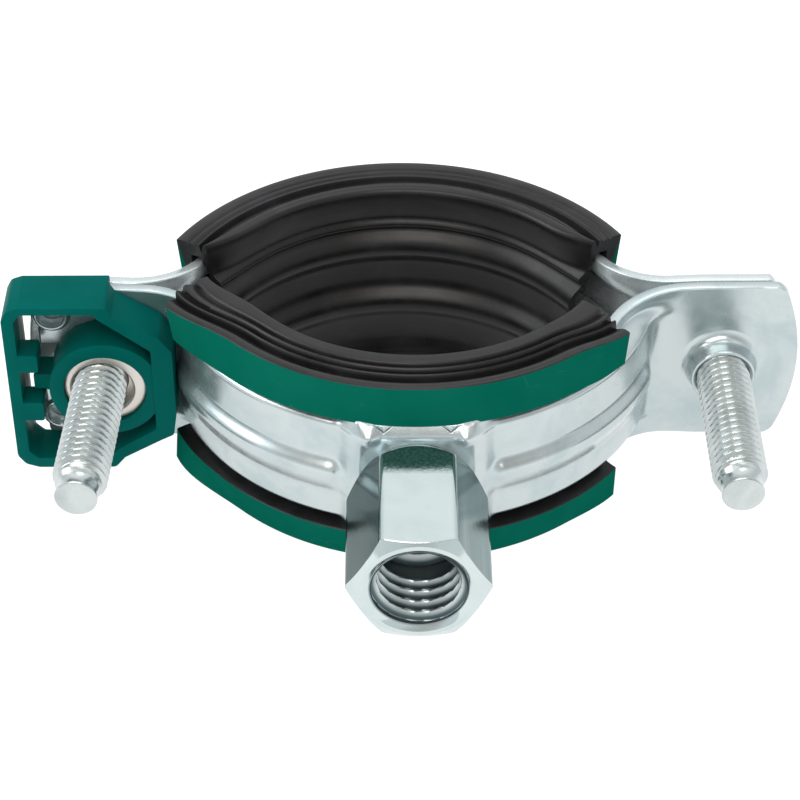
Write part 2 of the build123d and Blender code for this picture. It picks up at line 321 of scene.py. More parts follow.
def add_bump(nodes, links, bsdf, height, strength, distance, chain=None):
    b = nodes.new("ShaderNodeBump")
    b.inputs["Strength"].default_value = strength
    b.inputs["Distance"].default_value = distance
    links.new(height, b.inputs["Height"])
    if chain is not None:
        links.new(chain, b.inputs["Normal"])
    links.new(b.outputs["Normal"], bsdf.inputs["Normal"])
    return b.outputs["Normal"]


def zinc(name, tint_a, tint_b, r0, r1, fine=0.05, streak=None, cloud=150, metal=0.86, flank_painted_reflection=None, wave=0.05, hexagon=False):
    """Bright blue-passivated zinc plating: slightly clouded, with a very fine grain.
    The film over the metal is a little milky, so it is not entirely metallic."""
    m, nt, nodes, links, bsdf = new_material(name)
    vec = coords(nodes, links)
    big = noise(nodes, links, vec, cloud, 4.0, 0.6, 0.4)
    col = ramp(nodes, links, big, [(0.30, tint_b), (0.58, tint_a)])
    speck = noise(nodes, links, vec, 2600, 2.0, 0.6)
    col = mixcol(nodes, links, remap(nodes, links, speck, 0.70, 0.82, 0.0, 0.35), col, (0.30, 0.35, 0.36))
    if flank_painted_reflection is not None:
        # painted reflection: side flats (object normal X near ±1) are mixed to a dark teal with faint streaks, and the
        # left flank is painted darker still, in place of the dark surroundings they mirror
        tc = nodes.new("ShaderNodeTexCoord")
        sx = nodes.new("ShaderNodeSeparateXYZ")
        links.new(tc.outputs["Normal"], sx.inputs[0])
        ab = nodes.new("ShaderNodeMath")
        ab.operation = "ABSOLUTE"
        links.new(sx.outputs["X"], ab.inputs[0])
        lines = noise(nodes, links, coords(nodes, links, (700, 30, 700)), 1.0, 3.0, 0.6)
        side = remap(nodes, links, ab.outputs[0], 0.78, 0.86, 0.0, 1.0)
        gate = nodes.new("ShaderNodeMath")
        gate.operation = "MULTIPLY"
        links.new(side, gate.inputs[0])
        links.new(remap(nodes, links, lines, 0.3, 0.7, 1.0, 0.80), gate.inputs[1])
        col = mixcol(nodes, links, gate.outputs[0], col, flank_painted_reflection)
        col = mixcol(nodes, links, remap(nodes, links, sx.outputs["X"], -0.86, -0.78, 0.85, 0.0), col, (0.012, 0.050, 0.052))
    mid = noise(nodes, links, vec, 700, 3.0, 0.6)
    rough = remap(nodes, links, mid, 0.3, 0.7, r0, r1)
    if hexagon:
        # in the bore: rougher plating, with painted highlight on the thread crests and painted shade in the roots; on
        # the top flat next to the band: a painted reflection of the green lip
        op = nodes.new("ShaderNodeSeparateXYZ")
        links.new(tc.outputs["Object"], op.inputs[0])
        rad = nodes.new("ShaderNodeVectorMath")
        rad.operation = "MULTIPLY"
        links.new(tc.outputs["Object"], rad.inputs[0])
        rad.inputs[1].default_value = (1, 0, 1)
        ln = nodes.new("ShaderNodeVectorMath")
        ln.operation = "LENGTH"
        links.new(rad.outputs["Vector"], ln.inputs[0])
        bore = remap(nodes, links, ln.outputs["Value"], 5.04 * MM, 5.12 * MM, 1.0, 0.0)
        # painted highlight and shade: by radius in the bore, thread crests are painted light and the roots dark
        root = ramp(nodes, links, remap(nodes, links, ln.outputs["Value"], 4.2 * MM, 5.0 * MM, 0.0, 1.0),
                    [(0.0, (0.62, 0.67, 0.67)), (0.30, (0.42, 0.48, 0.49)), (0.62, (0.10, 0.14, 0.15)), (0.90, (0.06, 0.09, 0.10)), (1.0, (0.30, 0.35, 0.36))])
        col = mixcol(nodes, links, bore, col, root)
        rough = remap(nodes, links, bore, 0.0, 1.0, 0.09, 0.28)
        # painted reflection: a dark speckled teal patch on the top flat (normal Z up) at the band end of the boss, in
        # place of the grazing reflection of the green lip
        back = remap(nodes, links, op.outputs["Y"], -27.5 * MM, -26.6 * MM, 0.0, 1.0)
        painted_reflection_speckle = remap(nodes, links, noise(nodes, links, vec, 3200, 3.0, 0.7), 0.40, 0.60, 0.55, 1.0)
        g1 = nodes.new("ShaderNodeMath")
        g1.operation = "MULTIPLY"
        links.new(back, g1.inputs[0])
        links.new(painted_reflection_speckle, g1.inputs[1])
        top = remap(nodes, links, sx.outputs["Z"], 0.9, 0.96, 0.0, 1.0)
        painted_reflection_mask = nodes.new("ShaderNodeMath")
        painted_reflection_mask.operation = "MULTIPLY"
        links.new(g1.outputs[0], painted_reflection_mask.inputs[0])
        links.new(top, painted_reflection_mask.inputs[1])
        col = mixcol(nodes, links, painted_reflection_mask.outputs[0], col, (0.13, 0.21, 0.20))
    links.new(col, bsdf.inputs["Base Color"])
    links.new(rough, bsdf.inputs["Roughness"])
    bsdf.inputs["Metallic"].default_value = metal
    small = noise(nodes, links, vec, 4200, 2.0, 0.5)
    n1 = add_bump(nodes, links, bsdf, small, fine, 0.00002)
    wav = noise(nodes, links, vec, 200, 2.0, 0.5)
    n2 = add_bump(nodes, links, bsdf, wav, wave, 0.0002, n1)
    if streak is not None:
        sv = coords(nodes, links, streak)
        st = noise(nodes, links, sv, 1.0, 3.0, 0.6)
        add_bump(nodes, links, bsdf, st, 0.12, 0.00004, n2)
    return m


ZINC_BAND = zinc("zinc_band", (0.545, 0.605, 0.615), (0.420, 0.505, 0.525), 0.20, 0.28, cloud=115)
ZINC_REAR = zinc("zinc_rear", (0.60, 0.66, 0.67), (0.50, 0.57, 0.585), 0.22, 0.30, cloud=115, metal=0.55)
# boss: its side flats get a dark teal painted reflection
ZINC_BOSS = zinc("zinc_boss", (0.585, 0.660, 0.660), (0.535, 0.615, 0.615), 0.06, 0.12, fine=0.22, streak=(900, 40, 900), metal=0.92,
                 flank_painted_reflection=(0.090, 0.165, 0.172), wave=0.02, hexagon=True)
ZINC_SCREW = zinc("zinc_screw", (0.565, 0.612, 0.606), (0.430, 0.480, 0.474), 0.18, 0.30, metal=0.90)
ZINC_NUT = zinc("zinc_nut", (0.66, 0.63, 0.585), (0.56, 0.53, 0.48), 0.30, 0.42, metal=0.85)


def rubber_black():
    m, nt, nodes, links, bsdf = new_material("rubber_black")
    vec = coords(nodes, links)
    big = noise(nodes, links, vec, 160, 4.0, 0.6)
    col = ramp(nodes, links, big, [(0.3, (0.0065, 0.0063, 0.0066)), (0.7, (0.0115, 0.0110, 0.0112))])
    dust = noise(nodes, links, coords(nodes, links, (1, 1, 3)), 1500, 3.0, 0.7)
    dmask = remap(nodes, links, dust, 0.62, 0.80, 0.0, 0.22)
    smear = noise(nodes, links, coords(nodes, links, (1, 1, 2.2)), 130, 5.0, 0.65, 0.8)
    col = mixcol(nodes, links, remap(nodes, links, smear, 0.50, 0.74, 0.0, 0.75), col, (0.022, 0.023, 0.026))
    links.new(mixcol(nodes, links, dmask, col, (0.055, 0.052, 0.047)), bsdf.inputs["Base Color"])
    links.new(remap(nodes, links, big, 0.3, 0.7, 0.26, 0.42), bsdf.inputs["Roughness"])
    bsdf.inputs["Specular IOR Level"].default_value = 0.37
    small = noise(nodes, links, vec, 2600, 3.0, 0.6)
    add_bump(nodes, links, bsdf, small, 0.18, 0.00006)
    return m


def rubber_green():
    m, nt, nodes, links, bsdf = new_material("rubber_green")
    vec = coords(nodes, links)
    big = noise(nodes, links, vec, 120, 4.0, 0.6)
    col = ramp(nodes, links, big, [(0.3, (0.001, 0.096, 0.066)), (0.7, (0.003, 0.113, 0.078))])
    scr = nodes.new("ShaderNodeTexVoronoi")
    scr.feature = "DISTANCE_TO_EDGE"
    scr.inputs["Scale"].default_value = 1.0
    links.new(coords(nodes, links, (160, 160, 420), (0.3, 0.4, 0.2)), scr.inputs["Vector"])
    line = remap(nodes, links, scr.outputs["Distance"], 0.0, 0.012, 1.0, 0.0)
    gate = noise(nodes, links, vec, 420, 2.0, 0.5)
    gm = nodes.new("ShaderNodeMath")
    gm.operation = "MULTIPLY"
    links.new(line, gm.inputs[0])
    links.new(remap(nodes, links, gate, 0.58, 0.66, 0.0, 0.30), gm.inputs[1])
    links.new(mixcol(nodes, links, gm.outputs[0], col, (0.06, 0.22, 0.17)), bsdf.inputs["Base Color"])
    links.new(remap(nodes, links, big, 0.3, 0.7, 0.50, 0.62), bsdf.inputs["Roughness"])
    bsdf.inputs["Specular IOR Level"].default_value = 0.0
    small = noise(nodes, links, vec, 2400, 3.0, 0.6)
    add_bump(nodes, links, bsdf, small, 0.14, 0.00005)
    return m


def plastic_green():
    m, nt, nodes, links, bsdf = new_material("plastic_green")
    vec = coords(nodes, links)
    big = noise(nodes, links, vec, 200, 3.0, 0.5)
    links.new(ramp(nodes, links, big, [(0.3, (0.0, 0.086, 0.075)), (0.7, (0.0, 0.101, 0.088))]), bsdf.inputs["Base Color"])
    links.new(remap(nodes, links, big, 0.3, 0.7, 0.34, 0.44), bsdf.inputs["Roughness"])
    bsdf.inputs["Specular IOR Level"].default_value = 0.02
    small = noise(nodes, links, vec, 3000, 2.0, 0.5)
    add_bump(nodes, links, bsdf, small, 0.08, 0.00004)
    return m


RUBBER = rubber_black()
GREEN = rubber_green()
PLASTIC = plastic_green()


# =====================================================================
#  pressed halves
# =====================================================================
def crown_radius(a, up):
    return MARGIN_R + up + (CROWN_R - MARGIN_R) * (1 - sstep(a, 6.1, 7.9))


def half_surface(cx, cy, sy, up, ear_y, x_end_r, x_end_l, bead, pad=None,
                 fil=(1.5, 8.5), zn=75, na=120, nf=18, nl=46, r_fade=None):
    """Outer face of a pressed half as a grid. sy is -1 for the front half and +1 for the
    rear one. Returns points [i along the strip, j across it]."""
    v = np.linspace(-1, 1, zn)
    zc = v * BAND_H
    a = np.abs(zc)
    R0 = crown_radius(a, up)
    rf = fil[0] + (fil[1] - fil[0]) * sstep(a, 4.6, 9.3)
    rows = []
    # distance of the ear plane in front of the centre, measured against sy
    e = (ear_y - cy) * sy
    for side, xend in ((-1, x_end_l), (1, x_end_r)):
        fx = np.sqrt(np.maximum((R0 + rf) ** 2 - (e + rf) ** 2, 0))
        fy = e + rf
        phi_t = np.arctan2(fx, fy)
        seg = []
        # arc
        for t in np.linspace(0, 1, na):
            phi = t * phi_t
            s_mm = phi * (CROWN_R + up)
            R = R0 + bead(s_mm * side, zc, np.degrees(phi))
            seg.append(np.stack([cx + side * R * np.sin(phi), cy + sy * R * np.cos(phi),
                                 v * (BAND_H + (EAR_H - BAND_H) * sstep(np.degrees(phi), 56, 84))], 1))
        # fillet, turning from the arc's tangent to the ear plane
        for t in np.linspace(0, 1, nf + 1)[1:]:
            al = phi_t * (1 - t)
            w = sstep(np.degrees(phi_t), 56, 84) * (1 - t) + t * 0.9
            seg.append(np.stack([cx + side * (fx - rf * np.sin(al)), cy + sy * (fy - rf * np.cos(al)),
                                 v * (BAND_H + (EAR_H - BAND_H) * np.clip(w, 0, 1))], 1))
        # ear
        x0 = cx + side * fx
        for t in np.linspace(0, 1, nl + 1)[1:]:
            zz = v * (BAND_H + (EAR_H - BAND_H) * min(1.0, 0.9 + 0.4 * t))
            xe = xend(zz)
            seg.append(np.stack([x0 + (xe - x0) * t, np.full(zn, cy + sy * e), zz], 1))
        rows.append(np.array(seg))
    P = np.concatenate([rows[0][::-1], rows[1][1:]], 0)
    if pad is not None:
        P = pad(P)
    return P


def smooth_grid(P, n=1, fixed_edges=True):
    for _ in range(n):
        Q = P.copy()
        Q[1:-1, 1:-1] = 0.5 * P[1:-1, 1:-1] + 0.125 * (P[:-2, 1:-1] + P[2:, 1:-1] + P[1:-1, :-2] + P[1:-1, 2:])
        P = Q
    return P


def grid_normals(P, toward):
    du = np.gradient(P, axis=0)
    dv = np.gradient(P, axis=1)
    n = np.cross(du, dv)
    n /= np.maximum(np.linalg.norm(n, axis=2, keepdims=True), 1e-9)
    s = np.sign((n * toward).sum(2, keepdims=True).mean())
    return n * s


def sheet_solid(name, P, inward, mats, thick=SHEET, edge=0.22):
    """Closed solid: outer grid P, inner grid at the sheet's thickness, rounded rim."""
    N = grid_normals(P, inward)
    n, m = P.shape[:2]
    border = [(i, 0) for i in range(n)] + [(n - 1, j) for j in range(1, m)] + \
             [(i, m - 1) for i in range(n - 2, -1, -1)] + [(0, j) for j in range(m - 2, 0, -1)]
    bi = np.array(border)
    B = P[bi[:, 0], bi[:, 1]]
    NB = N[bi[:, 0], bi[:, 1]]
    inner_idx = np.array([(min(max(i, 1), n - 2), min(max(j, 1), m - 2)) for i, j in border])
    D = B - P[inner_idx[:, 0], inner_idx[:, 1]]
    D -= (D * NB).sum(1, keepdims=True) * NB
    D /= np.maximum(np.linalg.norm(D, axis=1, keepdims=True), 1e-9)
    O = P.copy()
    O[bi[:, 0], bi[:, 1]] = B - D * edge
    I = P + N * thick
    I[bi[:, 0], bi[:, 1]] = B + NB * thick - D * edge
    rings = []
    steps = [(0.29, 0.29), (1.0, 1.0)]
    rings.append(B - D * edge * 0.29 + NB * edge * 0.29)
    rings.append(B + NB * edge)
    rings.append(B + NB * (thick * 0.5))
    rings.append(B + NB * (thick - edge))
    rings.append(B - D * edge * 0.29 + NB * (thick - edge * 0.29))
    verts = [O.reshape(-1, 3), I.reshape(-1, 3)] + rings
    faces = grid_faces(n, m)
    faces += [f[::-1] for f in grid_faces(n, m, base=n * m)]
    flat_o = bi[:, 0] * m + bi[:, 1]
    nb = len(border)
    loops = [flat_o] + [2 * n * m + k * nb + np.arange(nb) for k in range(len(rings))] + [flat_o + n * m]
    for a, b in zip(loops[:-1], loops[1:]):
        for k in range(nb):
            k2 = (k + 1) % nb
            faces.append([a[k], a[k2], b[k2], b[k]])
    return make(name, np.vstack(verts), faces, mats, angle=50)


def front_bead(s, z, deg):
    """Raised rib along the crown, round ended beside the pad, running out at the ears."""
    s = abs(s)
    s0 = 9.4
    d = np.where(s < s0, np.hypot(s0 - s, z), np.abs(z))
    h = 1.0 * (1 - sstep(d, 0.20, 1.95 + 1.55 * (1 - sstep(z, -2.4, 1.4))))
    fade = 1 - sstep(deg, 66, 75)
    return h * fade


def rear_bead(s, z, deg):
    d = np.abs(z)
    return 1.0 * (1 - sstep(d, 0.35, 2.15)) * (1 - sstep(deg, 58, 68))


def front_pad(P):
    X, Z = P[..., 0], P[..., 2]
    w = (1 - sstep(np.abs(X), 5.9, 8.6)) * (1 - sstep(np.abs(Z), 7.8, 9.1))
    Q = P.copy()
    Q[..., 1] = P[..., 1] * (1 - w) + (PAD_Y + 0.60 * np.maximum(np.abs(Z) - 6.45, 0.0) ** 1.15) * w
    # small round bosses at the corners of the pad
    for x0 in (-5.05, 5.05):
        for z0 in (-6.60, 6.60):
            d = np.hypot((X - x0) / 0.95, (Z - z0) / 1.05)
            Q[..., 1] -= 0.55 * (1 - sstep(d, 0.10, 1.40))
    return Q


def end_fr(z):
    return 42.65 - 0.0205 * (z + 0.1) ** 2 - 0.7 * np.maximum(np.abs(z) - 9.5, 0) ** 2 * 1.4


def end_fl(z):
    return -(41.6 - 0.9 * np.maximum(np.abs(z) - 9.2, 0) ** 2)


def end_rr(z):
    return 40.6 - 0.011 * z ** 2 - 0.9 * np.maximum(np.abs(z) - 9.6, 0) ** 2


def end_rl(z):
    return -(43.0 - 0.016 * z ** 2 - 0.9 * np.maximum(np.abs(z) - 9.4, 0) ** 2)


def build_front_shell():
    P = half_surface(FX, FY, -1, 0.0, -1.3, end_fr, end_fl, front_bead, front_pad)
    ob = sheet_solid("front_shell_pressed", P, np.array([0, 1.0, 0]), [ZINC_BAND])
    # screw hole in the right ear
    cut = lathe("cut", [(0, -8), (3.0, -8), (3.0, 4), (0, 4)], (RS_X, 0, RS_Z), (0, 1, 0), [ZINC_BAND], 72)
    boolean(ob, cut)
    slot_pts = [(-46, -3.6), (-34.4, -3.6)] + \
        [(-34.4 + 3.3 * math.cos(t), -0.3 + 3.3 * math.sin(t)) for t in np.linspace(-math.pi / 2, math.pi / 2, 25)[1:-1]] + \
        [(-34.4, 3.0), (-46, 3.0)]
    boolean(ob, prism("cut", [slot_pts], -4, 3, [ZINC_BAND]))
    for zc in (6.95, -6.95):
        boolean(ob, prism("cut", [circle(-40.0, zc, 1.5, 40)], -4, 3, [ZINC_BAND]))
    # creases pressed at the top and bottom of the pad
    for sx in (-1, 1):
        for sz in (-1, 1):
            vee = [(-0.78, 0.62), (0.0, 0.08), (0.78, 0.62), (1.25, 0.80), (1.25, 0.66), (0.84, 0.48), (0.0, -0.10), (-0.84, 0.48)]
            boolean(ob, prism("cut", [[(sx * (3.45 + x), sz * (7.02 + z)) for x, z in vee]], PAD_Y - 0.6, PAD_Y + 0.72, [ZINC_BAND]))
    bevel(ob, 0.12, 2, 55)
    parts = [ob]
    # collar drawn out of the right ear
    parts.append(lathe("collar", [(3.0, -0.45), (3.0, -3.55), (3.12, -3.74), (3.3, -3.8), (3.46, -3.74), (3.55, -3.6),
                                  (3.56, -3.0), (3.6, -2.5), (3.7, -2.1), (3.88, -1.78), (4.15, -1.52), (4.5, -1.36),
                                  (4.9, -1.285), (4.9, -1.0), (3.4, -0.45)],
                       (RS_X, 0, RS_Z), (0, 1, 0), [ZINC_BAND], 96, closed=True))
    # raised rims of the two small holes
    for zc in (6.95, -6.95):
        parts.append(lathe("rim", [(1.5, -1.0), (1.5, -1.62), (1.58, -1.72), (1.72, -1.76), (1.88, -1.70), (1.98, -1.55),
                                   (2.06, -1.40), (2.2, -1.30), (2.2, -1.1)],
                           (-40.0, 0, zc), (0, 1, 0), [ZINC_BAND], 64, closed=True))
    ob = join("front_shell_pressed", parts)
    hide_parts("front_shell")
    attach(ob, "front_half")


def build_rear_shell():
    P = half_surface(RX, RY, 1, 1.0, 1.3, end_rr, end_rl, rear_bead)
    ob = sheet_solid("rear_shell_pressed", P, np.array([0, -1.0, 0]), [ZINC_REAR])

    def slot_loop(cx, cz, length, r):
        h = length / 2 - r
        a = [(cx + h + r * math.cos(t), cz + r * math.sin(t)) for t in np.linspace(-math.pi / 2, math.pi / 2, 21)]
        b = [(cx - h + r * math.cos(t), cz + r * math.sin(t)) for t in np.linspace(math.pi / 2, 3 * math.pi / 2, 21)]
        return a + b
    boolean(ob, prism("cut", [slot_loop(RS_X, RS_Z, 8.4, 3.3)], -3, 4, [ZINC_REAR]))
    boolean(ob, prism("cut", [slot_loop(-34.15, LS_Z, 9.2, 3.3)], -3, 4, [ZINC_REAR]))
    bevel(ob, 0.12, 2, 55)
    polish(ob, 50)
    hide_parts("rear_shell")
    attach(ob, "rear_half")


# =====================================================================
#  linings
# =====================================================================
FRONT_TOP = [(27.06, 11.84), (26.92, 11.95), (26.45, 11.96), (26.15, 11.90), (25.90, 11.80), (25.60, 11.58), (25.30, 11.34),
             (25.04, 11.10), (24.90, 11.02), (24.82, 11.30), (24.74, 11.74), (24.60, 11.88), (24.42, 11.80),
             (24.22, 11.54), (24.06, 11.32), (23.96, 11.26), (23.87, 11.50), (23.78, 11.84), (23.64, 11.95),
             (23.42, 11.86), (23.18, 11.62), (23.02, 11.42), (22.92, 11.38), (22.82, 11.62), (22.72, 11.88), (22.56, 11.97),
             (22.35, 11.97), (21.60, 11.97), (21.34, 11.91), (21.16, 11.76), (21.04, 11.50), (20.97, 11.10)]
REAR_TOP = [(27.06, 11.84), (26.92, 11.95), (26.10, 11.96), (25.90, 11.90), (25.74, 11.74), (25.62, 11.66), (25.50, 11.72),
            (25.40, 11.88), (25.26, 11.94), (25.08, 11.90), (24.92, 11.72), (24.80, 11.64), (24.68, 11.70), (24.58, 11.88),
            (24.44, 11.94), (24.28, 11.86), (24.16, 11.54), (24.04, 11.20), (23.90, 11.00), (23.74, 10.96), (23.56, 11.12),
            (23.34, 11.44), (23.10, 11.70), (22.84, 11.86), (22.54, 11.94), (22.20, 11.95), (21.92, 11.90), (21.70, 11.78), (21.54, 11.56),
            (21.45, 11.28), (21.42, 10.94)]
INNER_FRONT = [(20.98, 10.60), (20.99, 10.20), (21.02, 9.80), (21.12, 9.46), (21.32, 9.20), (21.50, 8.96), (21.62, 8.60), (21.66, 8.20)]
INNER_REAR = [(21.42, 10.60), (21.44, 10.20), (21.46, 9.80), (21.49, 9.40), (21.53, 9.00), (21.58, 8.60), (21.64, 8.20)]
INNER = [(21.60, 7.92), (21.42, 7.68), (21.24, 7.46), (21.15, 7.24), (21.18, 7.04), (21.36, 6.84), (21.72, 6.62), (21.90, 6.40), (21.84, 6.14),
         (21.54, 5.84), (21.20, 5.50), (20.91, 5.10), (20.69, 4.70), (20.56, 4.30), (20.53, 3.90), (20.62, 3.50), (20.85, 3.06),
         (21.20, 2.66), (21.60, 2.26), (21.95, 1.82), (22.12, 1.32), (22.17, 0.70), (22.17, 0.0)]
LOWER = [(22.17, -0.70), (22.10, -1.25), (21.92, -1.76), (21.60, -2.20), (21.20, -2.62), (20.86, -3.04), (20.64, -3.48), (20.55, -3.92),
         (20.60, -4.40), (20.80, -4.90), (21.10, -5.40), (21.34, -5.95), (21.48, -6.60), (21.54, -7.30), (21.54, -8.10), (21.44, -8.80),
         (21.26, -9.36), (21.06, -9.86)]
LOW_TIP = [(20.90, -10.30), (20.72, -10.60), (20.52, -10.95), (20.42, -11.40), (20.44, -11.74), (20.56, -11.90), (20.75, -11.96),
           (22.20, -11.96), (22.60, -11.94)]


def liner_section(top, lip, skin, head):
    """Closed section (radius, z), the segments that are green outside, and the
    polygons that close each end: the dark body and the green skin of the two lips."""
    upper = [(lip - 0.10, 7.62), (lip, 7.72)] + top + head + INNER
    low = LOWER + LOW_TIP + \
        [(r, -z) for r, z in top[::-1] if r > 22.65] + [(lip, -7.72), (lip - 0.10, -7.62)]
    back = [(skin, -7.61), (25.30, -7.60), (25.29, -9.30), (24.6, -9.33), (24.02, -9.30), (23.4, -9.42), (22.75, -9.34), (22.42, -9.0),
            (22.36, -8.4), (22.42, -7.9), (22.66, -7.45), (22.80, -7.0), (22.55, -6.45), (22.10, -5.85), (21.72, -5.2), (21.46, -4.7),
            (21.38, -4.3), (21.42, -3.9), (21.60, -3.35), (21.95, -2.75), (22.40, -2.2), (22.90, -1.8), (23.10, -1.35), (23.0, -0.9),
            (22.8, -0.5), (22.72, 0.0)]
    back += [(r, -z) for r, z in back[::-1]][1:]
    pts = upper + low + back
    nu, nl, nb = len(upper), len(low), len(back)
    m = len(pts)
    green = [0] * m
    green[1] = 1
    green[nu + nl - 3] = 1
    a, b, c, d = 0, 1, 2, m - 1
    e, f, g, h = nu + nl - 3, nu + nl - 2, nu + nl - 1, nu + nl
    caps = [([d, a, b, c], 1), ([e, f, g, h], 1), ([c] + list(range(c + 1, e)) + [e] + list(range(h, d + 1)), 0)]
    return np.array(pts), green, caps


def build_liner(name, node, body, cx, cy, sy, up, top, head, lip, skin, cut_l, cut_r, flare_l, flare_r, lift):
    pts, green, caps = liner_section(top, lip, skin, head)
    R, Z = pts[:, 0] + up, pts[:, 1]
    n = 150
    t = np.linspace(0, 1, n)
    V = np.zeros((n, len(pts), 3))
    for i, ti in enumerate(t):
        a0 = -cut_l(pts[:, 0], Z)
        a1 = cut_r(pts[:, 0], Z)
        phi = np.radians(a0 + (a1 - a0) * ti)
        dr = flare_l(-np.degrees(phi), pts[:, 0], Z) + flare_r(np.degrees(phi), pts[:, 0], Z)
        rr = R + dr
        V[i, :, 0] = cx + rr * np.sin(phi)
        V[i, :, 1] = cy + sy * rr * np.cos(phi)
        V[i, :, 2] = Z + lift(np.degrees(phi), pts[:, 0], Z)
    m = len(pts)
    faces = grid_faces(n, m, wrap_m=True)
    index = np.tile(np.array(green), n - 1).tolist()
    for loop, mat in caps:
        faces.append(list(loop))
        faces.append([(n - 1) * m + k for k in loop][::-1])
        index += [mat, mat]
    ob = make(name, V.reshape(-1, 3), faces, [RUBBER, GREEN], index, angle=42)
    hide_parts(node)
    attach(ob, body)
    return ob


def build_liners():
    def low(z):
        return sstep(-np.asarray(z, float), 3.0, 7.0)

    def cut_l(r, z):
        hi = np.interp(r, [20.5, 24.1, 24.9, 27.0, 28.0], [72.0, 69.6, 68.0, 64.2, 63.2])
        lo = np.interp(r, [20.5, 24.1, 27.0, 28.0], [72.0, 71.4, 70.2, 69.8])
        return hi + (lo - hi) * low(z)

    def cut_r(r, z):
        hi = np.interp(r, [20.5, 24.0, 25.6, 27.0, 28.0], [57.0, 54.4, 52.4, 51.9, 50.4])
        lo = np.interp(r, [20.5, 24.0, 27.0, 28.0], [57.0, 55.2, 53.2, 52.8])
        return hi + (lo - hi) * low(z)

    def flare_l(d, r, z):
        hi = 2.3 + 0.75 * sstep(z, 8.0, 12.0)
        lo = np.interp(-np.asarray(z, float), [7.6, 11.96], [0.75, 1.75])
        return (hi + (lo - hi) * low(z)) * sstep(d, 44, 70) ** 1.2 * np.maximum(sstep(r, 20.0, 24.5), 0.80 * np.clip((d - 46) / 25.0, 0.0, 1.0) ** 1.2) * sstep(np.abs(z), 6.5, 8.5)

    def flare_r(d, r, z):
        hi = 1.4 + 0.35 * sstep(z, 8.0, 12.0)
        lo = np.interp(-np.asarray(z, float), [7.6, 11.96], [-0.1, 0.75])
        return (hi + (lo - hi) * low(z)) * sstep(d, 36, 54) ** 1.2 * sstep(r, 20.0, 24.5) * sstep(np.abs(z), 6.5, 8.5)

    def lift_front(p, r, z):
        return 0.55 * sstep(p, 42, 51) * sstep(r, 27.4, 27.9) * sstep(z, 5.0, 7.0)

    def lift_rear(p, r, z):
        edge = sstep(np.abs(p), 53, 60) * sstep(np.abs(z), 9.1, 9.25) * (1 - sstep(np.abs(z), 9.34, 9.44))
        return 1.0 * np.sign(z) * edge * sstep(r, 23.9, 24.0) * (1 - sstep(r, 25.4, 25.5))
    build_liner("front_liner_profile", "front_liner", "front_half", FX, FY, -1, 0.0, FRONT_TOP, INNER_FRONT, 28.0, 27.15,
                cut_l, cut_r, flare_l, flare_r, lift_front)

    def spread_l(d, r, z):
        return 2.1 * np.clip((d - 44) / 18.0, 0.0, 1.0) ** 2.4 * np.clip((24.0 - r) / 2.4, 0.0, 1.0) * (0.1 + 0.9 * sstep(np.abs(z), 5.0, 11.0))

    def spread_r(d, r, z):
        return 2.1 * np.clip((d - 44) / 16.5, 0.0, 1.0) ** 2.4 * np.clip((24.0 - r) / 2.4, 0.0, 1.0) * (0.1 + 0.9 * sstep(np.abs(z), 5.0, 11.0))
    build_liner("rear_liner_profile", "rear_liner", "rear_half", RX, RY, 1, 1.0, REAR_TOP, INNER_REAR, 26.6, 25.85,
                lambda r, z: np.interp(r, [20.5, 23.6, 27.0], [61.2, 61.9, 62.3]),
                lambda r, z: np.interp(r, [20.5, 23.2, 27.0], [59.8, 60.4, 60.8]), spread_l, spread_r, lift_rear)


# =====================================================================
#  threads
# =====================================================================
def thread_depth(u):
    """0 at the root, 1 at the crest, over one pitch."""
    u = u % 1.0
    w = np.abs(u - 0.5) * 2
    return 1 - np.clip((w - 0.10) / (0.80 - 0.10), 0, 1)


